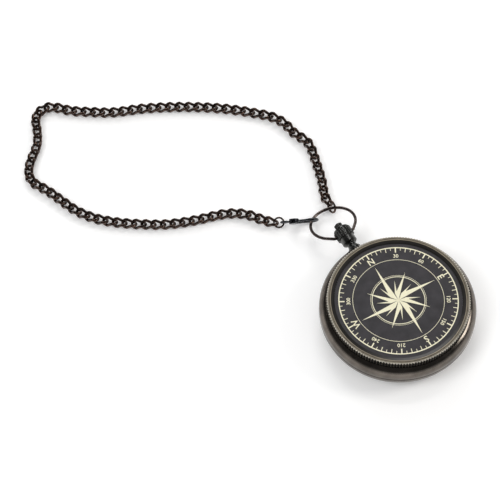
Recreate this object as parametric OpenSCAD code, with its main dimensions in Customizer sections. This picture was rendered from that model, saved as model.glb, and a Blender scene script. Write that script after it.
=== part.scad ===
// Pocket compass: screw lid, pendant with swinging bow, curb chain with a lobster clasp.
// Millimetres. Origin in the middle of the base on the table, +Z up, pendant along +Y.

/* [Case] */
// Widest radius of the case
case_radius = 25; // [20:0.5:35]
// Radius of the flat base
base_radius = 18.5; // [14:0.5:20]
// Radius of the rounding under the case
under_radius = 6.5; // [4:0.25:7]
// Height where the shoulder's rounding starts
band_top = 7.8; // [7:0.1:10]
// Radius of the shoulder's rounding
shoulder_radius = 3.6; // [2:0.1:5]
// Height of the flat on the shoulder
shoulder_top = 11.1; // [10:0.1:14]
// Radius of the neck under the lid
neck_radius = 21.6; // [18:0.1:22]
// Height of the neck's top
neck_top = 12.3; // [11:0.1:16]
// Radius of the dial chamber
bore_radius = 20.2; // [15:0.1:21]
// Height of the ledge under the dial
ledge_height = 5; // [3:0.1:6]
// Radius of the space under the dial
hollow_radius = 17; // [10:0.5:18]
// Thickness of the floor
floor_thickness = 1.4; // [1:0.1:3]

/* [Dial] */
// Thickness of the dial plate
plate_thickness = 0.6; // [0.4:0.1:1]
// Thickness of the printed card
card_thickness = 0.2; // [0.1:0.05:0.4]
// Radius of the brass boss
boss_radius = 1.7; // [1:0.1:3]
// Height of the brass boss above the card
boss_height = 0.9; // [0.4:0.1:1.5]
// Radius of the pivot pin
pin_radius = 0.3; // [0.2:0.05:0.5]
// Height of the pin's point
pin_tip_height = 8.1; // [7.5:0.05:9]
// Thickness of the glass
crystal_thickness = 1; // [0.6:0.1:1.4]
// Height of the glass's underside
crystal_height = 10.7; // [10:0.1:12]
// Height of the split ring that holds the glass
snap_ring_height = 0.35; // [0.2:0.05:0.6]

/* [Needle] */
// Length of each half of the needle
needle_length = 16.5; // [8:0.5:17]
// Half width of the needle at its hub
needle_half_width = 1.5; // [1:0.1:2.5]
// Thickness of the needle
needle_thickness = 0.35; // [0.2:0.05:0.6]
// Radius of the needle's hub
hub_radius = 1.3; // [1:0.1:2]
// Radius of the jewel in the hub
jewel_radius = 0.75; // [0.6:0.05:1]

/* [Lid] */
// Radius over the tips of the knurl
knurl_tip_radius = 22.75; // [20:0.05:24]
// Depth of the knurl
knurl_depth = 0.45; // [0.2:0.05:0.6]
// Number of knurl teeth
knurl_teeth = 156; // [60:4:180]
// Total height, lid closed
total_height = 13.5; // [12:0.1:16]
// Radius of the lid's printed plate
lid_plate_radius = 20.9; // [18:0.1:21]
// Thickness of the lid's printed plate
lid_plate_thickness = 0.55; // [0.3:0.05:0.8]
// Thickness of the gasket
gasket_thickness = 0.2; // [0.1:0.05:0.4]

/* [Pendant] */
// Height of the pendant's axis
pendant_height = 7.4; // [6:0.1:8]
// Distance of the bow's pivot from the middle
pivot_distance = 31.5; // [29:0.1:36]
// Radius of the fluted barrel
block_radius = 3; // [2.4:0.1:4]
// Length of the fluted barrel
block_length = 2.9; // [2:0.1:4]
// Number of flutes on the barrel
block_flutes = 24; // [12:2:36]
// Radius of the thin collar
collar_radius = 2.6; // [2:0.1:3]
// Thickness of the thin collar
collar_thickness = 0.6; // [0.3:0.1:1]
// Radius of the end knob
knob_radius = 1.35; // [1:0.05:2]
// Length of the end knob
knob_length = 2.1; // [1:0.1:3]

/* [Bow] */
// Radius of the bow's circle, to the middle of its wire
bow_radius = 7.4; // [6:0.1:10]
// Distance of the circle's middle from the pivot
bow_reach = 7; // [6:0.1:9]
// Diameter of the bow's wire
bow_wire = 1; // [0.6:0.02:1.2]
// Angle at which the bow hangs below level
bow_droop = 22; // [0:1:28]

/* [Chain] */
// Diameter of the chain's wire
link_wire = 0.95; // [0.7:0.05:1]
// Distance from link to link
link_pitch = 3.15; // [2.9:0.05:3.4]
// Radius of a link's round end, to the middle of its wire
link_end_radius = 1.45; // [1.3:0.05:1.6]
// Half length of a link's crossing sides
link_half_side = 0.75; // [0.6:0.05:0.9]
// Turn of each round end about the link's length
link_twist = 42; // [38:1:46]
// Lean of the chain towards its near side, where it runs from side to side
chain_lean = 14; // [0:1:18]

/* [Clasp] */
// Radius of the claw's hook, to the middle of its metal
hook_radius = 2.1; // [1.8:0.05:2.4]
// Diameter of the claw's metal
hook_wire = 1; // [0.8:0.05:1.2]
// Distance from the hook's middle to the tail eye
clasp_length = 8.6; // [8:0.1:10]
// Lean of the clasp out of upright
clasp_lean = -21.5; // [-30:0.5:30]

/* [Hidden] */
$fn = 96;

bronze = [0.20, 0.18, 0.16];
steel = [0.62, 0.61, 0.58];
brass = [0.72, 0.58, 0.30];
cream = [0.95, 0.93, 0.80];
charcoal = [0.22, 0.21, 0.22];
glass = [0.85, 0.90, 0.92, 0.4];
red = [0.70, 0.12, 0.10];

// clearances
fit_gap = 0.05;
press_gap = 0.02;
bore_cut = 5;

// case
groove_depth = 0.25;
groove_half_width = 0.15;
groove_lift = 0.1;
groove_height = under_radius + groove_lift + groove_half_width;
snap_groove_depth = 0.4;
snap_groove_clearance = 0.05;
spot_face_radius = 2.3;
spot_face_distance = 24.2;
stud_radius = 1;
stud_end = 22.5;
knob_chamfer = 0.25;

module tube(outer, inner, low, high) {
  translate([0, 0, low]) difference() {
    cylinder(r = outer, h = high - low);
    translate([0, 0, -bore_cut]) cylinder(r = inner, h = high - low + 2 * bore_cut);
  }
}

module disc(radius, low, high) {
  translate([0, 0, low]) cylinder(r = radius, h = high - low);
}

module along_y(distance) {
  translate([0, distance, pendant_height]) rotate([-90, 0, 0]) children();
}

module case_section() {
  shoulder_centre = case_radius - shoulder_radius;
  shoulder_reach = sqrt(pow(shoulder_radius, 2) - pow(shoulder_top - band_top, 2));
  square([base_radius, band_top]);
  translate([base_radius, under_radius]) intersection() {
    circle(under_radius);
    translate([0, -under_radius]) square(under_radius);
  }
  translate([0, under_radius]) square([case_radius, band_top - under_radius]);
  translate([shoulder_centre, band_top]) intersection() {
    circle(shoulder_radius);
    square([shoulder_radius, shoulder_top - band_top]);
  }
  translate([0, band_top]) square([shoulder_centre, shoulder_top - band_top]);
  square([neck_radius, neck_top]);
}

module case_body() {
  snap_low = crystal_height + crystal_thickness;
  color(bronze) difference() {
    rotate_extrude() difference() {
      case_section();
      translate([0, ledge_height]) square([bore_radius, neck_top]);
      translate([0, floor_thickness]) square([hollow_radius, neck_top]);
      translate([0, snap_low])
        square([bore_radius + snap_groove_depth, snap_ring_height + snap_groove_clearance]);
      polygon([
        [case_radius - groove_depth, groove_height],
        [case_radius + groove_depth, groove_height - 2 * groove_half_width],
        [case_radius + groove_depth, groove_height + 2 * groove_half_width]
      ]);
    }
    along_y(spot_face_distance) cylinder(r = spot_face_radius, h = bore_cut);
    along_y(stud_end) cylinder(r = stud_radius, h = bore_cut);
  }
}

// dial
plate_top = ledge_height + plate_thickness;
card_top = plate_top + card_thickness;
boss_spigot_radius = 0.9;
dial_radius = bore_radius - fit_gap;

module dial_plate() {
  color(brass) tube(dial_radius, boss_spigot_radius + press_gap, ledge_height, plate_top);
}

module dial_card() {
  color(cream) tube(dial_radius, boss_spigot_radius + press_gap, plate_top, card_top);
}

module pivot_boss() {
  color(brass) union() {
    tube(boss_spigot_radius, pin_radius + press_gap, ledge_height, card_top);
    tube(boss_radius, pin_radius + press_gap, card_top, card_top + boss_height);
  }
}

pin_point_radius = 0.05;
pin_point_height = 0.7;

module pivot_pin() {
  color(steel) union() {
    disc(pin_radius, ledge_height, pin_tip_height - pin_point_height);
    translate([0, 0, pin_tip_height - pin_point_height])
      cylinder(r1 = pin_radius, r2 = pin_point_radius, h = pin_point_height);
  }
}

// needle
jewel_gap = 0.05;
jewel_cup_depth = 0.35;
jewel_cup_radius = 0.42;
jewel_roof = 0.4;
jewel_low = pin_tip_height + jewel_gap - jewel_cup_depth;
jewel_top = pin_tip_height + jewel_gap + jewel_roof;
needle_low = jewel_low + 0.5 * jewel_cup_depth;
hub_thickness = 0.55;
needle_root = 0.8;

module needle_jewel() {
  color(red) difference() {
    disc(jewel_radius, jewel_low, jewel_top);
    translate([0, 0, jewel_low])
      cylinder(r1 = jewel_cup_radius, r2 = pin_point_radius, h = jewel_cup_depth);
  }
}

module needle_hub() {
  color(brass)
    tube(hub_radius, jewel_radius + press_gap, needle_low - 0.5 * hub_thickness + 0.5 * needle_thickness,
      needle_low + 0.5 * hub_thickness + 0.5 * needle_thickness);
}

module needle_half(side) {
  translate([0, 0, needle_low]) difference() {
    linear_extrude(needle_thickness) polygon([
      [-needle_half_width, side * needle_root],
      [0, side * needle_length],
      [needle_half_width, side * needle_root]
    ]);
    translate([0, 0, -bore_cut]) cylinder(r = hub_radius + press_gap, h = 2 * bore_cut);
  }
}

module needle_north() {
  color(red) needle_half(1);
}

module needle_south() {
  color(steel) needle_half(-1);
}

// glass and its rings
spacer_low_radius = 18.2;
spacer_high_radius = 19.2;

module spacer_ring() {
  color(brass) translate([0, 0, card_top]) difference() {
    cylinder(r = dial_radius, h = crystal_height - card_top);
    cylinder(r1 = spacer_low_radius, r2 = spacer_high_radius, h = crystal_height - card_top);
  }
}

module crystal() {
  color(glass) disc(dial_radius, crystal_height, crystal_height + crystal_thickness);
}

snap_ring_width = 1.2;
snap_ring_sweep = 350;

module crystal_snap_ring() {
  snap_outer = bore_radius + snap_groove_depth - fit_gap;
  color(steel) translate([0, 0, crystal_height + crystal_thickness])
    rotate_extrude(angle = snap_ring_sweep)
      translate([snap_outer - snap_ring_width, 0]) square([snap_ring_width, snap_ring_height]);
}

// lid
lid_gap = 0.15;
lid_low = shoulder_top + gasket_thickness;
lid_bore_radius = neck_radius + lid_gap;
knurl_root_radius = knurl_tip_radius - knurl_depth;
knurl_bevel = 0.25;
plate_gap = 0.1;
plate_low = neck_top + plate_gap;
lip_width = 0.6;
lip_thickness = 0.2;
flat_inner = 21.45;
groove_inner = 21.8;
groove_outer = 21.95;
lid_groove_depth = 0.12;

module lid_gasket() {
  color(charcoal) tube(knurl_root_radius + 0.5 * knurl_depth, lid_bore_radius, shoulder_top, lid_low);
}

module knurl_section() {
  polygon([
    for (i = [0 : 2 * knurl_teeth - 1])
      let (r = i % 2 == 0 ? knurl_tip_radius : knurl_root_radius, a = i * 180 / knurl_teeth)
      [r * cos(a), r * sin(a)]
  ]);
}

module lid_rim() {
  plate_high = plate_low + lid_plate_thickness;
  lip_radius = lid_plate_radius - lip_width;
  color(bronze) difference() {
    intersection() {
      translate([0, 0, lid_low]) linear_extrude(total_height - lid_low) knurl_section();
      union() {
        disc(knurl_tip_radius + knurl_depth, lid_low, total_height - knurl_bevel);
        translate([0, 0, total_height - knurl_bevel])
          cylinder(r1 = knurl_tip_radius, r2 = knurl_tip_radius - knurl_bevel, h = knurl_bevel);
      }
    }
    translate([0, 0, lid_low - bore_cut]) cylinder(r = lid_bore_radius, h = plate_low - lid_low + bore_cut);
    disc(lid_plate_radius + press_gap, lid_low, plate_high);
    disc(lip_radius, lid_low, total_height + bore_cut);
    translate([0, 0, plate_high + lip_thickness]) rotate_extrude() polygon([
      [0, 0],
      [lip_radius, 0],
      [flat_inner, total_height - plate_high - lip_thickness],
      [flat_inner, bore_cut],
      [0, bore_cut]
    ]);
    tube(groove_outer, groove_inner, total_height - lid_groove_depth, total_height + bore_cut);
  }
}

module lid_plate() {
  color(charcoal) disc(lid_plate_radius, plate_low, plate_low + lid_plate_thickness);
}

// pendant
flange_radius = 2.2;
flange_end = 25.4;
neck_wide_radius = 2;
neck_slim_radius = 1.5;
neck_waist = 26.6;
shoulder_start = 27.6;
stem_shoulder_radius = 2.5;
stem_chamfer = 0.3;
block_start = pivot_distance - 0.5 * block_length;
cross_hole_radius = 0.5 * bow_wire + fit_gap;
cross_hole_depth = 1.5;
block_end = block_start + block_length;
collar_end = block_end + collar_thickness;
knob_end = collar_end + knob_length;
flute_radius = 0.3;
knob_flutes = 18;
knob_flute_radius = 0.16;

module pendant_stem() {
  color(bronze) union() {
    along_y(stud_end) cylinder(r = stud_radius - press_gap, h = flange_end - stud_end);
    along_y(spot_face_distance) cylinder(r = flange_radius, h = flange_end - spot_face_distance);
    along_y(flange_end)
      cylinder(r1 = neck_wide_radius, r2 = neck_slim_radius, h = neck_waist - flange_end);
    along_y(neck_waist) cylinder(r = neck_slim_radius, h = block_start - neck_waist);
    along_y(shoulder_start) cylinder(r1 = stem_shoulder_radius - stem_chamfer, r2 = stem_shoulder_radius,
      h = stem_chamfer);
    along_y(shoulder_start + stem_chamfer)
      cylinder(r = stem_shoulder_radius, h = block_start - shoulder_start - stem_chamfer);
  }
}

module fluted(radius, length, count, flute) {
  difference() {
    cylinder(r = radius, h = length);
    for (i = [0 : count - 1])
      rotate([0, 0, (i + 0.5) * 360 / count]) translate([radius, 0, -bore_cut])
        cylinder(r = flute, h = length + 2 * bore_cut);
  }
}

module bow_block() {
  color(bronze) difference() {
    along_y(block_start) fluted(block_radius, block_length, block_flutes, flute_radius);
    for (side = [-1, 1])
      translate([side * (block_radius - cross_hole_depth), pivot_distance, pendant_height])
        rotate([0, side * 90, 0]) cylinder(r = cross_hole_radius, h = bore_cut);
  }
}

module pendant_collar() {
  color(bronze) along_y(block_end) cylinder(r = collar_radius, h = collar_thickness);
}

module pendant_knob() {
  color(bronze) union() {
    along_y(collar_end) fluted(knob_radius, knob_length - knob_chamfer, knob_flutes, knob_flute_radius);
    along_y(knob_end - knob_chamfer)
      cylinder(r1 = knob_radius - knob_chamfer, r2 = knob_radius - 2 * knob_chamfer, h = knob_chamfer);
  }
}

// bow, drawn flat with +Y away from the pivot, then hung at its droop
bow_elbow = 0.7;
bow_leg_angle = 45;
kink_cover = 0.015;
stub_end = block_radius - cross_hole_depth + 2 * fit_gap;
leg_run = (bow_reach - bow_radius * sin(bow_leg_angle) - bow_elbow * (1 - cos(bow_leg_angle)))
  / sin(bow_leg_angle);
leg_top = [bow_radius * cos(bow_leg_angle), bow_reach - bow_radius * sin(bow_leg_angle)];
leg_low = leg_top - leg_run * [cos(bow_leg_angle), sin(bow_leg_angle)];
elbow_centre = leg_low + bow_elbow * [-sin(bow_leg_angle), cos(bow_leg_angle)];

module wire_arc(radius, wire, start, sweep) {
  rotate([0, 0, start]) rotate_extrude(angle = sweep) translate([radius, 0]) circle(d = wire);
}

module wire_run(from, to, wire) {
  run = to - from;
  translate(from) rotate([0, acos(run[2] / norm(run)), atan2(run[1], run[0])])
    cylinder(d = wire, h = norm(run));
}

module tapered_run(from, to, start_wire, end_wire) {
  run = to - from;
  translate(from) rotate([0, acos(run[2] / norm(run)), atan2(run[1], run[0])])
    cylinder(d1 = start_wire, d2 = end_wire, h = norm(run));
}

module kink_ball(place, wire) {
  translate(place) sphere(r = 0.5 * wire + kink_cover);
}

module bow_half() {
  kink_ball([leg_top[0], leg_top[1], 0], bow_wire);
  kink_ball([leg_low[0], leg_low[1], 0], bow_wire);
  kink_ball([elbow_centre[0], 0, 0], bow_wire);
  wire_run([leg_low[0], leg_low[1], 0], [leg_top[0], leg_top[1], 0], bow_wire);
  translate([elbow_centre[0], elbow_centre[1], 0]) wire_arc(bow_elbow, bow_wire, -90, bow_leg_angle);
  wire_run([stub_end, 0, 0], [elbow_centre[0], 0, 0], bow_wire);
}

module on_bow() {
  translate([0, pivot_distance, pendant_height]) rotate([-bow_droop, 0, 0]) children();
}

module bow() {
  color(bronze) on_bow() union() {
    translate([0, bow_reach, 0])
      wire_arc(bow_radius, bow_wire, -bow_leg_angle, 180 + 2 * bow_leg_angle);
    bow_half();
    mirror([1, 0, 0]) bow_half();
  }
}

// places on the bow where ring and clasp hang
hang_angle = 30;
hang_side = bow_radius * sin(hang_angle);
hang_out = bow_reach + bow_radius * cos(hang_angle);
hang_y = pivot_distance + hang_out * cos(bow_droop);
hang_z = pendant_height - hang_out * sin(bow_droop);

// chain
ring_wire = 0.7;
ring_radius = 1.95;
ring_offset = [0, 0.6, -0.1];
ring_lean = -18;

module jump_ring() {
  color(bronze) translate([hang_side, hang_y, hang_z] + ring_offset)
    rotate([0, 90 - ring_lean, 0]) wire_arc(ring_radius, ring_wire, 0, 360);
}

module link() {
  union() {
    for (end = [-1, 1])
      rotate([-end * link_twist, 0, 0]) translate([end * link_half_side, 0, 0])
        wire_arc(link_end_radius, link_wire, -end * 90, 180);
    for (side = [-1, 1]) {
      from = [link_half_side, side * link_end_radius * cos(link_twist),
        -side * link_end_radius * sin(link_twist)];
      to = [-from[0], from[1], -from[2]];
      wire_run(from, to, link_wire);
      kink_ball(from, link_wire);
      kink_ball(to, link_wire);
    }
  }
}
start_rise = 0.5;
end_rise = 0.4;
rise_links = 4;

// middle line of the chain on the table, from the jump ring round to the clasp
route = [
  [3.8, 46], [3.9, 49.5], [6.1, 54], [7.9, 59.5], [9.5, 65], [10.4, 70], [8.3, 75], [7.7, 80],
  [5.3, 84.5], [1.8, 88], [-2.5, 92], [-8, 96.5], [-14.5, 101], [-21, 105], [-30, 109.8], [-39, 113.6],
  [-46, 118.2], [-51, 121.8], [-53.8, 125], [-58, 127.2], [-62.2, 125.2], [-64, 120.6], [-66.6, 116],
  [-69.7, 113.2], [-73, 110.2], [-75.2, 105.2], [-72.4, 99], [-70.4, 93.5], [-68, 87.2], [-64, 81.3],
  [-58.4, 76.1], [-52.2, 71.6], [-45.5, 67.4], [-37, 63.9], [-27.5, 60.9], [-22.1, 57.6], [-19.2, 53.9],
  [-17.3, 51.3], [-15.04, 49.01]
];
route_steps = 8;
last_leg = len(route) - 1;

// smooth curve through four neighbours, t from 0 to 1 between the middle two
function through(a, b, c, d, t) =
  0.5 * (2 * b + (c - a) * t + (2 * a - 5 * b + 4 * c - d) * t * t + (3 * b - a - 3 * c + d) * t * t * t);
function leg_point(i, t) =
  through(route[max(i - 1, 0)], route[i], route[min(i + 1, last_leg)], route[min(i + 2, last_leg)], t);
line = [
  for (i = [0 : last_leg - 1], k = [0 : route_steps - 1]) leg_point(i, k / route_steps),
  route[last_leg]
];
// first place on the line at a given straight distance from the last joint
function crossing(from, a, b) =
  let (run = b - a, lead = a - from, p = (lead * run) / (run * run),
    q = (lead * lead - link_pitch * link_pitch) / (run * run))
  a + run * (sqrt(p * p - q) - p);
function next_index(from, i) = i >= len(line) ? i : norm(line[i] - from) >= link_pitch ? i
  : next_index(from, i + 1);
function walk(from, i) =
  let (j = next_index(from, i))
  j >= len(line) ? [from] : concat([from], walk(crossing(from, line[j - 1], line[j]), j));
joints = walk(line[0], 1);
link_count = len(joints) - 1;
links_per_node = ceil(link_count / 6);

module chain_run(part) {
  first = (part - 1) * links_per_node;
  for (i = [first : min(first + links_per_node, link_count) - 1]) {
    step = joints[i + 1] - joints[i];
    middle = 0.5 * (joints[i + 1] + joints[i]);
    heading = atan2(step[1], step[0]);
    lean = chain_lean * cos(heading);
    height = 0.5 * link_wire + link_end_radius * sin(link_twist + abs(lean)) + 2 * press_gap;
    rise = max(start_rise * (1 - i / rise_links), end_rise * (1 - (link_count - 1 - i) / rise_links), 0);
    color(bronze) translate([middle[0], middle[1], height + rise]) rotate([lean, 0, heading]) link();
  }
}

module chain_links_1() { chain_run(1); }
module chain_links_2() { chain_run(2); }
module chain_links_3() { chain_run(3); }
module chain_links_4() { chain_run(4); }
module chain_links_5() { chain_run(5); }
module chain_links_6() { chain_run(6); }

// clasp: drawn flat with the hook's middle at the origin and the tail along +X
clasp_heading = 152;
clasp_dip = 2;
hook_shift = [-1.22, -0.25, 0.2];
hook_middle = [-hang_side, hang_y, hang_z] + hook_shift;
hook_start = 90;
hook_sweep = 200;
hook_tip = hook_radius * [cos(hook_start + hook_sweep), sin(hook_start + hook_sweep)];
eye_radius = 1.05;
eye_wire = 0.7;
tail_wire = 0.62;
hub_place = [5.5, -0.1];
hub_round = 1.6;
arm_end = [4.7, 0.95];
arm_wire = 1.45;
slot_start = 2.5;
slot_end = 6.25;
slot_top = 0.35;
rivet_place = [5.3, -0.55];
rivet_radius = 0.3;
lever_thickness = 0.8;
lever_wire = 0.74;
lever_round = 0.8;
gate_gap = 0.08;
cheek_thickness = 0.35;
slot_half = 0.5 * lever_thickness + fit_gap;
hub_half = slot_half + cheek_thickness;
nub_start = [3.9, -1];
nub_end = [4.2, -2.3];
nub_wire = 0.66;
spring_wire = 0.14;
spring_radius = 0.46;
spring_sweep = 330;
recess_radius = 0.6;
recess_floor = 0.15;
end_ring_radius = 1.6;
end_ring_wire = 0.6;
end_ring_turn = -75;
end_ring_play = 0.2;

module on_clasp() {
  translate(hook_middle) rotate([0, clasp_dip, clasp_heading])
    rotate([90 + clasp_lean, 0, 0]) mirror([0, 1, 0]) children();
}

module at_rivet() {
  translate([rivet_place[0], rivet_place[1], 0]) children();
}

module clasp_body() {
  color(bronze) on_clasp() difference() {
    union() {
      wire_arc(hook_radius, hook_wire, hook_start, hook_sweep);
      tapered_run([0, hook_radius, 0], [arm_end[0], arm_end[1], 0], hook_wire, arm_wire);
      kink_ball([0, hook_radius, 0], hook_wire);
      translate([hub_place[0], hub_place[1], -hub_half]) cylinder(r = hub_round, h = 2 * hub_half);
      wire_run([hub_place[0], hub_place[1], 0], [clasp_length - eye_radius, 0, 0], tail_wire);
      translate([clasp_length, 0, 0]) wire_arc(eye_radius, eye_wire, 0, 360);
    }
    translate([slot_start, slot_top - bore_cut, -slot_half]) cube([slot_end - slot_start, bore_cut, 2 * slot_half]);
    at_rivet() translate([0, 0, -bore_cut]) cylinder(r = rivet_radius + press_gap, h = 2 * bore_cut);
  }
}

module clasp_lever() {
  reach = rivet_place - hook_tip;
  tip = hook_tip + gate_gap * reach / norm(reach);
  color(bronze) on_clasp() difference() {
    union() {
      at_rivet() translate([0, 0, -0.5 * lever_thickness]) cylinder(r = lever_round, h = lever_thickness);
      wire_run([tip[0], tip[1], 0], [rivet_place[0], rivet_place[1], 0], lever_wire);
      wire_run([nub_start[0], nub_start[1], 0], [nub_end[0], nub_end[1], 0], nub_wire);
    }
    at_rivet() translate([0, 0, -bore_cut]) cylinder(r = rivet_radius + fit_gap, h = 2 * bore_cut);
    at_rivet() translate([0, 0, recess_floor]) cylinder(r = recess_radius, h = bore_cut);
  }
}

module clasp_rivet() {
  color(steel) on_clasp() at_rivet() translate([0, 0, -hub_half]) cylinder(r = rivet_radius, h = 2 * hub_half);
}

module clasp_spring() {
  color(steel) on_clasp() at_rivet() translate([0, 0, recess_floor + 0.5 * spring_wire + press_gap])
    wire_arc(spring_radius, spring_wire, 0, spring_sweep);
}

module chain_end_ring() {
  in_eye = clasp_length + eye_radius - 0.5 * eye_wire - end_ring_play - 0.5 * end_ring_wire;
  color(bronze) on_clasp()
    translate([in_eye + end_ring_radius, 0, 0])
      rotate([end_ring_turn, 0, 0]) wire_arc(end_ring_radius, end_ring_wire, 0, 360);
}

case_body();
dial_plate();
dial_card();
pivot_boss();
pivot_pin();
needle_jewel();
needle_hub();
needle_north();
needle_south();
spacer_ring();
crystal();
crystal_snap_ring();
lid_gasket();
lid_rim();
lid_plate();
pendant_stem();
bow_block();
pendant_collar();
pendant_knob();
bow();
jump_ring();
chain_links_1();
chain_links_2();
chain_links_3();
chain_links_4();
chain_links_5();
chain_links_6();
chain_end_ring();
clasp_body();
clasp_lever();
clasp_rivet();
clasp_spring();
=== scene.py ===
# %% [markdown]
# Pocket compass, dressed for its picture.
#
# The imported model brings every solid in its true place. This file gives each solid its metal,
# glass or paint, adds the printing and the screw threads, and sets up a camera, a pale floor and
# lamps. Blender counts in metres, so a size in millimetres is written as a number times MM.

# %% Load the frame
import bpy
import bmesh
from math import atan, cos, pi, radians, sin
from mathutils import Matrix, Vector


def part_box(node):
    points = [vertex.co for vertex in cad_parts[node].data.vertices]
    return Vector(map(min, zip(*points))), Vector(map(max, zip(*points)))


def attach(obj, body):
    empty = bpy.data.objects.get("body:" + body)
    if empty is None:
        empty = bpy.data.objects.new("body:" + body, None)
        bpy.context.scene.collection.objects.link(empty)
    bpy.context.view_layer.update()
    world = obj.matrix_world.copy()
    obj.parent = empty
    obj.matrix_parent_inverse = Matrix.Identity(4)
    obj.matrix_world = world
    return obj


MM = 0.001
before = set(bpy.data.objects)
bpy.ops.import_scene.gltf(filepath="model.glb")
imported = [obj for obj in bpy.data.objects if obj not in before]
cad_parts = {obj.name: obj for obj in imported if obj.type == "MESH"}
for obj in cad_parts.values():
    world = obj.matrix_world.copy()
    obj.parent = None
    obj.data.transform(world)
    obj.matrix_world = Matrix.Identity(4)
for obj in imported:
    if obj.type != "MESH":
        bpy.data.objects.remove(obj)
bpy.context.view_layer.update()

# %% [markdown]
# The camera looks down steeply, yet low enough to show the knurled edge of the lid. It could be
# put in place by eye, by flying the view about. Two angles, a distance and a target say the same
# exactly, and can be read from the ellipse that a round case makes in a picture. A long lens from
# far away keeps that ellipse true, as small things are usually photographed.

# %% Camera
camera_azimuth, camera_elevation = radians(-31.62), radians(61.70)
camera_distance = 800 * MM
look_at = Vector((-26.83, 45.86, 0)) * MM
picture_width = 500
metres_per_pixel = 0.3251 * MM
nearest_seen, farthest_seen = 0.05, 20

back = Vector((sin(camera_azimuth) * cos(camera_elevation),
    -cos(camera_azimuth) * cos(camera_elevation), sin(camera_elevation)))
lens = bpy.data.cameras.new("camera")
lens.sensor_fit = "HORIZONTAL"
lens.angle = 2 * atan(picture_width / 2 * metres_per_pixel / camera_distance)
lens.clip_start, lens.clip_end = nearest_seen, farthest_seen
camera = bpy.data.objects.new("camera", lens)
camera.location = look_at + back * camera_distance
camera.rotation_euler = back.to_track_quat("Z", "Y").to_euler()
bpy.context.collection.objects.link(camera)
bpy.context.scene.camera = camera
print("camera at", tuple(round(v, 3) for v in camera.location))

# %% [markdown]
# Three small node helpers that the studio and several finishes share. One turns a value into a
# straight slope between two levels. One tells rays that are looked along, from the camera or by
# way of a mirror or glass, from rays that only gather light. The last one puts two shaders side
# by side and lets such a value choose between them. So a background can look white without
# lighting the compass any more than a plain room does.

# %% Node helpers for light
def mapped(tree, value, low, high, at_low=0.0, at_high=1.0):
    """A straight slope from at_low to at_high, flat outside low and high."""
    slope = tree.nodes.new("ShaderNodeMapRange")
    slope.inputs["From Min"].default_value = low
    slope.inputs["From Max"].default_value = high
    slope.inputs["To Min"].default_value = at_low
    slope.inputs["To Max"].default_value = at_high
    tree.links.new(value, slope.inputs["Value"])
    return slope.outputs["Result"]

def looked_at(tree):
    """1 for rays from the camera, straight, mirrored or through glass, and 0 for the rest."""
    path = tree.nodes.new("ShaderNodeLightPath")
    either = path.outputs["Is Camera Ray"]
    for ray in ("Is Glossy Ray", "Is Transmission Ray"):
        most = tree.nodes.new("ShaderNodeMath")
        most.operation = "MAXIMUM"
        tree.links.new(either, most.inputs[0])
        tree.links.new(path.outputs[ray], most.inputs[1])
        either = most.outputs[0]
    return either

def mixed_shaders(tree, factor, first, second, output):
    """Send one shader where the factor is 0, and another where it is 1, to the output node."""
    choice = tree.nodes.new("ShaderNodeMixShader")
    tree.links.new(factor, choice.inputs[0])
    tree.links.new(first.outputs[0], choice.inputs[1])
    tree.links.new(second.outputs[0], choice.inputs[2])
    tree.links.new(choice.outputs[0], tree.nodes[output].inputs["Surface"])

print("node helpers for light ready")

# %% [markdown]
# The studio round the compass. Polished metal is a mirror, so what stands about it is half of its
# finish. One flat colour all round would make dark plating look like grey plastic, and a
# photograph of a real studio would be a file to carry along. So the world is a slope: white near
# the horizon, where a studio has white card, and dark overhead, where the room is. Rays that only
# gather light see an even grey instead, so colours stay as written.

# %% World
white = (1, 1, 1, 1)
horizon_white, overhead_grey = 1.0, 0.08
horizon_height, overhead_height = 0.0, 0.32
plain_light = 0.50

scene = bpy.context.scene
scene.view_settings.view_transform = "Standard"
world = bpy.data.worlds.new("studio")
scene.world = world
world.use_nodes = True
sky_tree = world.node_tree
even = sky_tree.nodes["Background"]
even.inputs["Color"].default_value = white
even.inputs["Strength"].default_value = plain_light
seen = sky_tree.nodes.new("ShaderNodeBackground")
seen.inputs["Color"].default_value = white
aim = sky_tree.nodes.new("ShaderNodeTexCoord")
split = sky_tree.nodes.new("ShaderNodeSeparateXYZ")
sky_tree.links.new(aim.outputs["Generated"], split.inputs[0])
sky_slope = mapped(sky_tree, split.outputs["Z"], horizon_height, overhead_height,
    horizon_white, overhead_grey)
sky_tree.links.new(sky_slope, seen.inputs["Strength"])
mixed_shaders(sky_tree, looked_at(sky_tree), even, seen, "World Output")
print("world from", overhead_grey, "overhead to", horizon_white, "at the horizon")

# %% [markdown]
# The floor is a large pale sheet just under the base. It gives the case something to stand on, to
# throw a soft shadow on and to mirror in its lower edge. It could be a curved backdrop, but from
# this high a flat sheet already fills the picture. Pale paint alone would look grey, and stronger
# lamps would wash out the print, so a faint glow, which only looked-along rays see, lifts it to
# white.

# %% Floor
def node_material(name):
    """An empty node material, with its tree and shader."""
    material = bpy.data.materials.new(name)
    material.use_nodes = True
    tree = material.node_tree
    return material, tree, tree.nodes["Principled BSDF"]

floor_reach = 1.6
floor_gap = 0.02 * MM
floor_white = (0.98, 0.98, 0.98, 1)
floor_glow = 0.12

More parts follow.
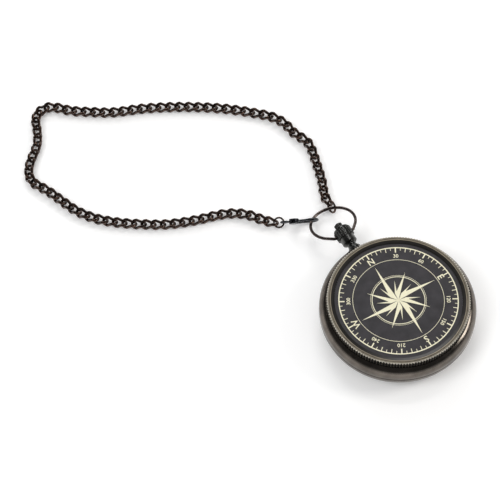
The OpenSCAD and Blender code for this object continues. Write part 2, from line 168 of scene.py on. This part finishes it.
floor_paint, floor_tree, floor_shader = node_material("pale_floor")
floor_shader.inputs["Base Color"].default_value = floor_white
floor_shader.inputs["Roughness"].default_value = 0.9
floor_shader.inputs["Specular IOR Level"].default_value = 0.1
floor_shader.inputs["Emission Color"].default_value = white
floor_tree.links.new(mapped(floor_tree, looked_at(floor_tree), 0, 1, 0, floor_glow),
    floor_shader.inputs["Emission Strength"])
floor_mesh = bpy.data.meshes.new("floor")
corners = [(-floor_reach, -floor_reach, 0), (floor_reach, -floor_reach, 0),
    (floor_reach, floor_reach, 0), (-floor_reach, floor_reach, 0)]
floor_mesh.from_pydata(corners, [], [(0, 1, 2, 3)])
floor_mesh.materials.append(floor_paint)
floor = bpy.data.objects.new("floor", floor_mesh)
floor.location = (0, 0, -floor_gap)
bpy.context.collection.objects.link(floor)
print("floor", 2 * floor_reach, "m square")

# %% [markdown]
# Four area lamps. One big lamp would be simpler, but dark metal needs bright things to mirror.
# The left one does most of the lighting. Its square would show as a hard patch on the polished
# case, so it is hidden from mirror rays. The back and right ones are soft boxes that wrap the
# edges. The strip hangs where a level mirror would show it to the camera, so it draws a bright
# line along the top of every wire and on the lid's edge, and misses the sides of the case.

# %% Lamps
def lamp(name, place, aim_point, size, watts, colour=(1, 1, 1), mirrored=True):
    """A rectangular area lamp at a place, turned towards a point."""
    light = bpy.data.lights.new(name, "AREA")
    light.shape = "RECTANGLE"
    light.size, light.size_y = size
    light.energy = watts
    light.color = colour
    thing = bpy.data.objects.new(name, light)
    thing.location = place
    towards = Vector(place) - Vector(aim_point)
    thing.rotation_euler = towards.to_track_quat("Z", "Y").to_euler()
    thing.visible_glossy = mirrored
    bpy.context.collection.objects.link(thing)

warm_white = (1, 0.97, 0.93)
lamp("left_box", (-0.60, 0.05, 0.70), (0, 0.02, 0), (0.45, 0.45), 2.7, mirrored=False)
lamp("strip", (0.25, 0.40, 0.88), (0, 0.03, 0), (0.45, 0.06), 0.8)
lamp("back_box", (0.30, 0.80, 0.55), (0, 0.04, 0), (0.60, 0.25), 2.4)
lamp("right_box", (0.60, -0.25, 0.45), (0, 0, 0), (0.25, 0.25), 1.7, warm_white)

# %% [markdown]
# Every real finish drifts a little: plating is darker in one place, paint is duller in another. A
# picture of scratched metal could be wrapped round each piece, but it would need unwrapping and
# would blur close up. Noise made from the object's own coordinates needs neither. These blocks
# make the noise, turn its value into tones, and let it bend the light without changing the shape.

# %% Noise, tones and bump
def grey(value):
    return (value, value, value)

def noise(tree, scale, detail=3.0, along=None):
    """Noise on the object's own coordinates, or along a given vector."""
    if along is None:
        along = tree.nodes.new("ShaderNodeTexCoord").outputs["Object"]
    grain = tree.nodes.new("ShaderNodeTexNoise")
    grain.inputs["Scale"].default_value = scale
    grain.inputs["Detail"].default_value = detail
    tree.links.new(along, grain.inputs["Vector"])
    return grain.outputs["Fac"]

def ramp(tree, value, stops):
    """Tones for a value, each stop a place and a colour."""
    band = tree.nodes.new("ShaderNodeValToRGB")
    points = band.color_ramp.elements
    while len(points) < len(stops):
        points.new(1.0)
    for point, (at, colour) in zip(points, stops):
        point.position = at
        point.color = (*colour, 1)
    tree.links.new(value, band.inputs["Fac"])
    return band.outputs["Color"]

def bumped(tree, shader, height, strength, distance):
    """Bend the light on a shader as if its surface rose and fell by a height."""
    bump = tree.nodes.new("ShaderNodeBump")
    bump.inputs["Strength"].default_value = strength
    bump.inputs["Distance"].default_value = distance
    tree.links.new(height, bump.inputs["Height"])
    tree.links.new(bump.outputs["Normal"], shader.inputs["Normal"])

print("noise, tones and bump ready")

# %% [markdown]
# Blending colours and doing sums are nodes too. The last helper measures where a point lies on a
# turned piece: how far from the upright middle line, and how high. A lathe leaves fine rings that
# follow just these two measures, so noise along them looks turned, on every face of the piece.

# %% Blends, sums and turned coordinates
def blended(tree, kind, factor, first, second):
    """Two colours blended, by a number or by a value from another node."""
    blend = tree.nodes.new("ShaderNodeMix")
    blend.data_type = "RGBA"
    blend.blend_type = kind
    if isinstance(factor, (int, float)):
        blend.inputs["Factor"].default_value = factor
    else:
        tree.links.new(factor, blend.inputs["Factor"])
    tree.links.new(first, blend.inputs["A"])
    tree.links.new(second, blend.inputs["B"])
    return blend.outputs["Result"]

def fed(tree, node, values):
    """Fill a node's sockets in order, with numbers or links, and give its first output."""
    for socket, value in zip(node.inputs, values):
        if isinstance(value, (int, float)):
            socket.default_value = value
        else:
            tree.links.new(value, socket)
    return node.outputs[0]

def maths(tree, operation, *values):
    step = tree.nodes.new("ShaderNodeMath")
    step.operation = operation
    return fed(tree, step, values)

def combined(tree, x, y, z):
    return fed(tree, tree.nodes.new("ShaderNodeCombineXYZ"), (x, y, z))

def round_the_axis(tree):
    """Distance from the upright middle line, and height, both in metres."""
    place = tree.nodes.new("ShaderNodeTexCoord")
    parts = tree.nodes.new("ShaderNodeSeparateXYZ")
    tree.links.new(place.outputs["Object"], parts.inputs[0])
    x, y, z = parts.outputs
    squares = [maths(tree, "MULTIPLY", side, side) for side in (x, y)]
    return maths(tree, "SQRT", maths(tree, "ADD", *squares)), z

def turned_noise(tree, scale):
    """Noise in fine rings, as a lathe leaves them."""
    return noise(tree, scale, 2, combined(tree, *round_the_axis(tree), 0))

print("blends, sums and turned coordinates ready")

# %% [markdown]
# Plated metal. The real case is brass under a dark bronze plating, polished and then handled.
# Plain dark metal would do from afar, but a hand-worn finish is uneven. Two tones drift into each
# other, the polish is duller in patches, and a fine noise breaks up the reflections. One function
# makes all of it, so each part only states its tones and its polish. Turned parts carry faint
# rings too.

# %% Plated finishes
lathe_rings = 9000
times_finer_scratches, times_finer_patches = 9, 2.3
scratch_depth, scratch_strength = 0.02 * MM, 0.05

def plated(name, dark, light, polish, scale=260.0, turned=False):
    """Metal between two tones, with a polish given as its lowest and highest roughness."""
    material, tree, shader = node_material(name)
    shader.inputs["Metallic"].default_value = 1
    tone = ramp(tree, noise(tree, scale), [(0.35, dark), (0.70, light)])
    scratches = turned_noise(tree, lathe_rings) if turned else noise(
        tree, scale * times_finer_scratches, 2)
    if turned:
        rings = ramp(tree, scratches, [(0.30, grey(0.80)), (0.70, grey(1.0))])
        tone = blended(tree, "MULTIPLY", 1, tone, rings)
    tree.links.new(tone, shader.inputs["Base Color"])
    bright, dull = polish
    handled = ramp(tree, noise(tree, scale * times_finer_patches),
        [(0.30, grey(bright)), (0.75, grey(dull))])
    tree.links.new(handled, shader.inputs["Roughness"])
    bumped(tree, shader, scratches, scratch_strength, scratch_depth)
    return material

case_plate = plated("case_bronze", (0.120, 0.105, 0.091), (0.195, 0.171, 0.148), (0.15, 0.24),
    turned=True)
pendant_plate = plated("pendant_bronze", (0.075, 0.076, 0.073), (0.150, 0.148, 0.142),
    (0.24, 0.36), 500)
bow_plate = plated("bow_bronze", (0.060, 0.049, 0.046), (0.145, 0.118, 0.108), (0.14, 0.24), 400)
chain_plate = plated("chain_bronze", (0.040, 0.030, 0.026), (0.135, 0.085, 0.066),
    (0.20, 0.32), 700)
clasp_plate = plated("clasp_gunmetal", (0.050, 0.054, 0.060), (0.110, 0.115, 0.122),
    (0.22, 0.34), 600)
dial_brass = plated("dial_brass", (0.48, 0.35, 0.16), (0.62, 0.47, 0.24), (0.25, 0.40), 300,
    turned=True)
bright_steel = plated("bright_steel", (0.42, 0.41, 0.40), (0.58, 0.57, 0.55), (0.22, 0.35), 300)
print("plated finishes up to", bright_steel.name)

# %% [markdown]
# The lid's rim. Thumbs rub its top edge and the upper ends of its teeth back to pale brass, and
# the tones carry painted light as well: the bright edges and tips are partly painted highlight,
# and the near-black hollows, groove and tooth sides are painted shade. Wear could be painted on by
# hand, but it follows a simple rule: it depends on how far a point is from the middle. So one ramp
# over that distance, in millimetres here, lays the dark sloping band, the bright edge with its
# painted highlight and the fine double line with its painted dark groove, and a second one lays
# painted shade on the sides of the teeth. A slope over the height darkens the teeth lower down
# with painted shade, where they stand in each other's shadow.

# %% Rubbed rim, with painted highlight and shade
rim_from, rim_to = 20.2, 22.8
# Painted light in these tones: the bright lines at 21.44 and 21.98 mm and the pale tips are
# painted highlight over worn brass, and the near-black stops are painted shade in the groove and
# the valleys.
rim_wear_and_light_tones = [(20.2, (0.024, 0.022, 0.020)), (21.36, (0.032, 0.029, 0.026)),
    (21.44, (0.34, 0.29, 0.21)), (21.62, (0.26, 0.22, 0.16)), (21.76, (0.12, 0.10, 0.075)),
    (21.82, (0.02, 0.018, 0.016)), (21.93, (0.02, 0.018, 0.016)), (21.98, (0.36, 0.31, 0.225)),
    (22.18, (0.18, 0.155, 0.115)), (22.26, (0.018, 0.015, 0.013)), (22.34, (0.52, 0.48, 0.40)),
    (22.72, (0.72, 0.68, 0.58))]
rim_wear_and_light_shares = [((at - rim_from) / (rim_to - rim_from), tone) for at, tone in rim_wear_and_light_tones]
rim_polish = [(0.0, 0.30), (0.44, 0.30), (0.48, 0.42), (0.90, 0.36), (1.0, 0.42)]
tooth_valley, tooth_tip = 22.30, 22.76
# Painted shade on the sides of the teeth, darkest in the valleys between them.
tooth_side_shade_tones = [(0.0, (0.008, 0.007, 0.006)), (0.60, (0.018, 0.015, 0.012)),
    (1.0, (0.13, 0.11, 0.086))]
# Below this height the teeth take the painted shade of their sides; above it, the worn brass with
# its painted highlight.
shaded_below, lit_worn_top_above = 13.08, 13.22
brushed_metal = 0.35
rim_patches = 420
rim_scratch_strength = 0.06

rim_plate, rim_tree, rim_shader = node_material("rim_bronze")
rim_shader.inputs["Metallic"].default_value = brushed_metal
radius, height = round_the_axis(rim_tree)
share = mapped(rim_tree, radius, rim_from * MM, rim_to * MM)
across_tooth = mapped(rim_tree, radius, tooth_valley * MM, tooth_tip * MM)
lit_worn_top = mapped(rim_tree, height, shaded_below * MM, lit_worn_top_above * MM)
# Painted shade on the lower teeth, worn brass and painted highlight on the top.
rim_wear_and_light_tone = blended(rim_tree, "MIX", lit_worn_top, ramp(rim_tree, across_tooth, tooth_side_shade_tones),
    ramp(rim_tree, share, rim_wear_and_light_shares))
patches = ramp(rim_tree, noise(rim_tree, rim_patches), [(0.30, grey(0.72)), (0.65, grey(1.0))])
rim_tree.links.new(blended(rim_tree, "MULTIPLY", 1, rim_wear_and_light_tone, patches),
    rim_shader.inputs["Base Color"])
rim_tree.links.new(ramp(rim_tree, share, [(at, grey(value)) for at, value in rim_polish]),
    rim_shader.inputs["Roughness"])
bumped(rim_tree, rim_shader, turned_noise(rim_tree, lathe_rings), rim_scratch_strength,
    scratch_depth)
print("rim tones", len(rim_wear_and_light_tones) + len(tooth_side_shade_tones))

# %% [markdown]
# Paint, card, rubber and print. None of them is a mirror, so a little drift in the colour, a matt
# surface and a faint grain are enough, and one function serves them all. The lid's charcoal is a
# thin lacquer over turned metal, so it gets the lathe's rings instead of the grain, and less
# shine.

# %% Painted finishes
lacquer_rings = 6000
times_finer_grain = 6
grain_depth = 0.03 * MM

def paint(name, first, second, roughness, scale=400.0, grain=0.08, turned=False, shine=0.5):
    """Paint that drifts between two colours."""
    material, tree, shader = node_material(name)
    shader.inputs["Specular IOR Level"].default_value = shine
    shader.inputs["Roughness"].default_value = roughness
    drift = ramp(tree, noise(tree, scale), [(0.30, first), (0.70, second)])
    tree.links.new(drift, shader.inputs["Base Color"])
    uneven = turned_noise(tree, lacquer_rings) if turned else noise(
        tree, scale * times_finer_grain, 2)
    bumped(tree, shader, uneven, grain, grain_depth)
    return material

enamel = paint("lid_charcoal", (0.032, 0.030, 0.033), (0.046, 0.043, 0.048), 0.42, 300,
    grain=0.05, turned=True, shine=0.25)
rubber = paint("gasket_rubber", grey(0.018), grey(0.030), 0.8)
needle_paint = paint("needle_red", (0.52, 0.030, 0.025), (0.60, 0.050, 0.040), 0.3)
jewel_red = paint("jewel_red", (0.30, 0.010, 0.020), (0.42, 0.020, 0.030), 0.12)
card_stock = paint("card_cream", (0.78, 0.74, 0.60), (0.84, 0.80, 0.67), 0.7, 500)
cream_ink = paint("cream_print", (0.80, 0.76, 0.55), (0.87, 0.83, 0.62), 0.5, 1200)
dark_ink = paint("dark_print", (0.020, 0.019, 0.018), (0.030, 0.028, 0.026), 0.5, 1200)
red_ink = paint("red_print", (0.45, 0.030, 0.020), (0.52, 0.050, 0.030), 0.5, 1200)
print("painted finishes up to", red_ink.name)

# %% [markdown]
# The glass over the dial is clear, with the slightest waviness, and shows once the lid is off.
# Real glass bends a lamp's rays into bright curls, which takes a renderer very long, so by
# default it leaves the dial in the dark. The usual cure is used here: rays that only ask whether
# a lamp is hidden meet a clear stand-in instead of the glass, and the dial is lit.

# %% Glass
waviness_scale, waviness_strength = 40, 0.02
glass, glass_tree, glass_shader = node_material("clear_glass")
glass_shader.inputs["Base Color"].default_value = (0.98, 1.0, 0.99, 1)
glass_shader.inputs["Roughness"].default_value = 0.02
glass_shader.inputs["IOR"].default_value = 1.5
glass_shader.inputs["Transmission Weight"].default_value = 1
bumped(glass_tree, glass_shader, noise(glass_tree, waviness_scale, 1), waviness_strength,
    scratch_depth)
stand_in = glass_tree.nodes.new("ShaderNodeBsdfTransparent")
stand_in.inputs["Color"].default_value = (*grey(0.92), 1)
lamp_rays = glass_tree.nodes.new("ShaderNodeLightPath").outputs["Is Shadow Ray"]
mixed_shaders(glass_tree, lamp_rays, glass_shader, stand_in, "Material Output")
print("glass", glass.name)

# %% [markdown]
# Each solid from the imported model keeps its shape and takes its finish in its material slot. A
# list of names is plainer than a rule here, because the choice of metal follows the work that
# each part does: brass where it is turned, steel where it springs or wears. What isn't in the
# list is chain, with its rings.

# %% Finishes on the solids
finishes = {
    "case_body": case_plate, "lid_rim": rim_plate, "lid_plate": enamel, "lid_gasket": rubber,
    "pendant_stem": pendant_plate, "bow_block": pendant_plate, "pendant_collar": pendant_plate,
    "pendant_knob": pendant_plate, "bow": bow_plate, "dial_plate": dial_brass,
    "dial_card": card_stock, "pivot_boss": dial_brass, "pivot_pin": bright_steel,
    "needle_jewel": jewel_red, "needle_hub": dial_brass, "needle_north": needle_paint,
    "needle_south": bright_steel, "spacer_ring": dial_brass, "crystal": glass,
    "crystal_snap_ring": bright_steel, "clasp_body": clasp_plate, "clasp_lever": clasp_plate,
    "clasp_rivet": bright_steel, "clasp_spring": bright_steel,
}
for name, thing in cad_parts.items():
    thing.data.materials.clear()
    thing.data.materials.append(finishes.get(name, chain_plate))
print("finishes on", len(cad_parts), "solids")

# %% [markdown]
# Repeated shapes. Marks on a card and turns of a thread follow a rule, so Geometry Nodes make
# them: a small tree with named inputs for its sizes, which can be run again with other numbers.
# These helpers start a tree, close it with real geometry and a material, and run it once on an
# empty mesh. The result is kept as a plain mesh, and the modifier goes, because a finished piece
# needs no recipe.

# %% Geometry Nodes helpers
def new_tree(name, inputs):
    """A tree with an input for each size, and its input and output nodes."""
    tree = bpy.data.node_groups.new(name, "GeometryNodeTree")
    for label, kind, default in inputs:
        socket = tree.interface.new_socket(label, in_out="INPUT", socket_type=kind)
        if default is not None:
            socket.default_value = default
    tree.interface.new_socket("Geometry", in_out="OUTPUT", socket_type="NodeSocketGeometry")
    return tree, tree.nodes.new("NodeGroupInput"), tree.nodes.new("NodeGroupOutput")

def closed_tree(tree, geometry, given, made):
    """End a tree with real geometry in the given material."""
    real = tree.nodes.new("GeometryNodeRealizeInstances")
    coat = tree.nodes.new("GeometryNodeSetMaterial")
    tree.links.new(geometry, real.inputs["Geometry"])
    tree.links.new(real.outputs["Geometry"], coat.inputs["Geometry"])
    tree.links.new(given.outputs["Material"], coat.inputs["Material"])
    tree.links.new(coat.outputs["Geometry"], made.inputs[0])

def grown(name, tree, values):
    """Run a tree on an empty mesh and keep the result as a plain mesh."""
    seed = bpy.data.objects.new(name + "_seed", bpy.data.meshes.new(name + "_seed"))
    bpy.context.collection.objects.link(seed)
    modifier = seed.modifiers.new("grow", "NODES")
    modifier.node_group = tree
    sockets = {s.name: s.identifier for s in tree.interface.items_tree if s.in_out == "INPUT"}
    for label, value in values.items():
        modifier[sockets[label]] = value
    seed.update_tag()
    depsgraph = bpy.context.evaluated_depsgraph_get()
    mesh = bpy.data.meshes.new_from_object(seed.evaluated_get(depsgraph), depsgraph=depsgraph)
    bpy.data.objects.remove(seed)
    mesh.name = name
    return mesh

print("Geometry Nodes helpers ready")

# %% [markdown]
# A compass card is divided by short bars that all point to the middle. An array modifier round an
# empty could lay them out. This tree says it more directly: a circle of points, one bar on each,
# turned by its number times the angle between two marks.

# %% Marks round a circle
marks_tree, given, made = new_tree("marks_round_circle", [
    ("Count", "NodeSocketInt", 72), ("Radius", "NodeSocketFloat", 18 * MM),
    ("Length", "NodeSocketFloat", 1 * MM), ("Width", "NodeSocketFloat", 0.2 * MM),
    ("Thickness", "NodeSocketFloat", 0.02 * MM), ("Material", "NodeSocketMaterial", None)])
circle = marks_tree.nodes.new("GeometryNodeMeshCircle")
bar = marks_tree.nodes.new("GeometryNodeMeshCube")
place = marks_tree.nodes.new("GeometryNodeInstanceOnPoints")
index = marks_tree.nodes.new("GeometryNodeInputIndex").outputs[0]
link = marks_tree.links.new
link(given.outputs["Count"], circle.inputs["Vertices"])
link(given.outputs["Radius"], circle.inputs["Radius"])
bar_sizes = [given.outputs[side] for side in ("Length", "Width", "Thickness")]
link(combined(marks_tree, *bar_sizes), bar.inputs["Size"])
step_angle = maths(marks_tree, "DIVIDE", 2 * pi, given.outputs["Count"])
bar_angle = maths(marks_tree, "MULTIPLY", index, step_angle)
link(combined(marks_tree, 0, 0, bar_angle), place.inputs["Rotation"])
link(circle.outputs["Mesh"], place.inputs["Points"])
link(bar.outputs["Mesh"], place.inputs["Instance"])
closed_tree(marks_tree, place.outputs["Instances"], given, made)
print("marks tree with", len(marks_tree.nodes), "nodes")

# %% [markdown]
# The rest of the printing is flat shapes with a hair of thickness, as thick ink has. A picture on
# the plate would be quicker, but real shapes stay sharp at any size and survive in the exported
# model. The two simplest are a slab with straight walls, raised from its outline, and a flat
# ring.

# %% Slabs and rings
def as_mesh(shape, name, material):
    """A plain mesh from a bmesh, with all faces outward."""
    bmesh.ops.recalc_face_normals(shape, faces=shape.faces)
    mesh = bpy.data.meshes.new(name)
    shape.to_mesh(mesh)
    shape.free()
    mesh.materials.append(material)
    return mesh

def slab(outline, low, height, material):
    """A flat shape with straight walls from its outline, anticlockwise."""
    shape = bmesh.new()
    foot = shape.faces.new([shape.verts.new((x, y, low)) for x, y in outline])
    raised = bmesh.ops.extrude_face_region(shape, geom=[foot])["geom"]
    bmesh.ops.translate(shape, vec=(0, 0, height),
        verts=[v for v in raised if isinstance(v, bmesh.types.BMVert)])
    return as_mesh(shape, "slab", material)

def ring(inner, outer, low, height, material, sides=180):
    """A flat ring with a square section."""
    shape = bmesh.new()
    section = ((inner, low), (outer, low), (outer, low + height), (inner, low + height))
    rows = []
    for k in range(sides):
        a = 2 * pi * k / sides
        rows.append([shape.verts.new((r * cos(a), r * sin(a), z)) for r, z in section])
    for k in range(sides):
        here, there = rows[k], rows[(k + 1) % sides]
        for j in range(4):
            shape.faces.new((here[j], there[j], there[(j + 1) % 4], here[(j + 1) % 4]))
    return as_mesh(shape, "ring", material)

print("slabs and rings ready")

# %% [markdown]
# Figures and letters start as Blender's own text, so they need no font file. A text object is
# turned into a mesh before it is moved, because a finished piece keeps its place in its mesh. On
# a compass they stand upright towards the middle, so each is turned by its bearing.

# %% Figures and letters
bold_share = 0.012

def figure(words, size, radius, bearing, low, height, material):
    """Plain figures or a letter, at a radius and a bearing clockwise from the pendant."""
    curve = bpy.data.curves.new("figure", "FONT")
    curve.body = words
    curve.size = size
    curve.align_x, curve.align_y = "CENTER", "CENTER"
    curve.extrude = height / 2
    curve.offset = size * bold_share
    curve.resolution_u = 3
    thing = bpy.data.objects.new("figure", curve)
    bpy.context.collection.objects.link(thing)
    depsgraph = bpy.context.evaluated_depsgraph_get()
    mesh = bpy.data.meshes.new_from_object(thing.evaluated_get(depsgraph), depsgraph=depsgraph)
    bpy.data.objects.remove(thing)
    angle = radians(bearing)
    spot = Vector((radius * sin(angle), radius * cos(angle), low + height / 2))
    mesh.transform(Matrix.Translation(spot) @ Matrix.Rotation(-angle, 4, "Z"))
    mesh.materials.clear()
    mesh.materials.append(material)
    return mesh

print("figures and letters ready")

# %% [markdown]
# The star. Old charts split each point lengthwise into a light half and a dark half, so that it
# looks like a folded ridge. Each half is one triangle from the middle to the tip, by way of a
# shoulder near the root. On a dark plate the dark half is left out, and the plate itself does its
# work. A flat curve could draw it too, but three corners are simpler to write and to change.

# %% Points of the star
def star_point(length, half_width, root, bearing, low, height, light, dark):
    """One point of the star, with its dark half only where a dark ink is given."""
    a = radians(bearing)
    along, across = Vector((sin(a), cos(a))), Vector((cos(a), -sin(a)))
    tip, shoulder = along * length, along * root
    centre = Vector((0, 0))
    light_half = [centre, shoulder - across * half_width, tip]
    dark_half = [centre, tip, shoulder + across * half_width]
    parts = []
    for outline, ink in ((light_half, light), (dark_half, dark)):
        if ink:
            points = [(p.x, p.y) for p in outline]
            area = sum(points[i - 1][0] * points[i][1] - points[i][0] * points[i - 1][1]
                for i in range(3))
            parts.append(slab(points if area > 0 else points[::-1], low, height, ink))
    return parts

print("points of the star ready")

# %% [markdown]
# A whole card: rings, a scale, figures, letters and a star, all as shares of the card's radius,
# so the same drawing serves the lid and the smaller dial. Marks may cross each other. Two tops in
# one plane would fight for the same pixels and render as black patches, so each layer stands a
# hair higher than the one before.

# %% The compass card
ink_height = 0.03 * MM
hair = 0.004 * MM
scale_rim = 0.955
scale_rows = [(72, 0.045, 0.009), (36, 0.070, 0.011), (12, 0.085, 0.020)]
ring_rows = [(0.952, 0.970), (0.735, 0.742), (0.420, 0.432), (0.448, 0.453)]
figure_size, figure_radius = 0.088, 0.805
letter_size, letter_radius = 0.150, 0.808
point_rows = [(22.5, 45, 0.36, 0.035, 0.13), (45, 90, 0.52, 0.062, 0.15),
    (0, 90, 0.70, 0.085, 0.14)]

def moved(mesh, z):
    mesh.transform(Matrix.Translation((0, 0, z)))
    return mesh

def card(low, size, light, dark, north):
    """A compass card of a given radius, as a list of small meshes, lowest layer first."""
    heights = [ink_height + hair * layer for layer in range(8)]
    parts = []
    for height, (count, length, width) in zip(heights[:3], scale_rows):
        parts.append(moved(grown("marks", marks_tree, {
            "Count": count, "Radius": size * (scale_rim - length / 2), "Length": size * length,
            "Width": size * width, "Thickness": height, "Material": light}), low + height / 2))
    for inner, outer in ring_rows:
        parts.append(ring(size * inner, size * outer, low, heights[3], light))
    for bearing in range(0, 360, 30):
        if bearing % 90:
            parts.append(figure(str(bearing), size * figure_size, size * figure_radius, bearing,
                low, heights[4], light))
    for letter, bearing in (("N", 0), ("E", 90), ("S", 180), ("W", 270)):
        parts.append(figure(letter, size * letter_size, size * letter_radius, bearing, low,
            heights[4], north if letter == "N" else light))
    for height, (first, step, length, half_width, root) in zip(heights[5:], point_rows):
        for k in range(360 // step):
            parts += star_point(size * length, size * half_width, size * root, first + k * step,
                low, height, light, dark if step == 90 else None)
    return parts

print("card of", len(scale_rows), "scales,", len(ring_rows), "rings and", len(point_rows), "stars")

# %% [markdown]
# Joining. Print isn't a part that can be picked up: it rides on its plate, and moves with it. So
# all the small meshes of one card become one piece, and each face remembers which ink it is in.

# %% Joining and riding
def joined(name, meshes, body):
    """Join small meshes into one piece that rides on a body."""
    shape = bmesh.new()
    inks = []
    for mesh in meshes:
        for material in mesh.materials:
            if material not in inks:
                inks.append(material)
    for mesh in meshes:
        start = len(shape.faces)
        shape.from_mesh(mesh)
        shape.faces.ensure_lookup_table()
        numbers = [inks.index(m) for m in mesh.materials]
        for face in shape.faces[start:]:
            face.material_index = numbers[min(face.material_index, len(numbers) - 1)]
    whole = bpy.data.meshes.new(name)
    shape.to_mesh(whole)
    shape.free()
    for ink in inks:
        whole.materials.append(ink)
    thing = bpy.data.objects.new(name, whole)
    bpy.context.collection.objects.link(thing)
    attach(thing, body)
    print(name, len(whole.polygons), "faces")

print("joining ready")

# %% [markdown]
# Two cards. The lid's face carries one in cream on charcoal, with the light half of each point
# alone. The dial under the glass has the same in dark ink on cream card, with whole long points
# and a red N. Each starts at the top of its plate, read from the plate's own box, so it lies on
# it without a gap.

# %% The lid's face and the dial
lid_card_radius, dial_card_radius = 19.6 * MM, 17.6 * MM
lid_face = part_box("lid_plate")[1][2]
joined("lid_printing", card(lid_face, lid_card_radius, cream_ink, None, cream_ink), "lid")
card_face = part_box("dial_card")[1][2]
joined("dial_printing", card(card_face, dial_card_radius, dark_ink, dark_ink, red_ink), "case")

# %% [markdown]
# Threads. The lid screws onto the neck, so the neck and the lid's bore each carry a fine helical
# ridge, which shows once the lid is off. Lines in a bump would look flat from the side, and a
# Screw modifier needs a profile placed just so. A small circle swept along a spiral curve is a
# real ridge, and its radius, height and turns are plain numbers.

# %% A thread
thread_tree, given, made = new_tree("thread", [
    ("Radius", "NodeSocketFloat", 21.6 * MM), ("Height", "NodeSocketFloat", 0.8 * MM),
    ("Turns", "NodeSocketFloat", 3.0), ("Ridge", "NodeSocketFloat", 0.06 * MM),
    ("Material", "NodeSocketMaterial", None)])
points_per_turn, ridge_sides = 96, 6
spiral = thread_tree.nodes.new("GeometryNodeCurveSpiral")
spiral.inputs["Resolution"].default_value = points_per_turn
ridge = thread_tree.nodes.new("GeometryNodeCurvePrimitiveCircle")
ridge.inputs["Resolution"].default_value = ridge_sides
sweep = thread_tree.nodes.new("GeometryNodeCurveToMesh")
sweep.inputs["Fill Caps"].default_value = True
link = thread_tree.links.new
link(given.outputs["Turns"], spiral.inputs["Rotations"])
for end in ("Start Radius", "End Radius"):
    link(given.outputs["Radius"], spiral.inputs[end])
link(given.outputs["Height"], spiral.inputs["Height"])
link(given.outputs["Ridge"], ridge.inputs["Radius"])
link(spiral.outputs["Curve"], sweep.inputs["Curve"])
link(ridge.outputs["Curve"], sweep.inputs["Profile Curve"])
closed_tree(thread_tree, sweep.outputs["Mesh"], given, made)
print("thread tree with", len(thread_tree.nodes), "nodes")

# %% [markdown]
# One thread goes outside the neck and one inside the lid's bore. Both have three turns. Each
# spiral lies on its wall, so about half of the ridge is sunk in it and no gap shows behind.

# %% The neck's thread and the lid's
turns = 3.0
ridge_radius = 0.055 * MM
neck_radius, neck_start, neck_height = 21.6 * MM, 11.42 * MM, 0.75 * MM
bore_radius, bore_start, bore_height = 21.77 * MM, 11.55 * MM, 0.70 * MM

neck_thread = grown("neck_thread", thread_tree, {"Radius": neck_radius, "Height": neck_height,
    "Turns": turns, "Ridge": ridge_radius, "Material": case_plate})
joined("neck_thread", [moved(neck_thread, neck_start)], "case")
lid_thread = grown("lid_thread", thread_tree, {"Radius": bore_radius, "Height": bore_height,
    "Turns": turns, "Ridge": ridge_radius, "Material": rim_plate})
joined("lid_thread", [moved(lid_thread, bore_start)], "lid")
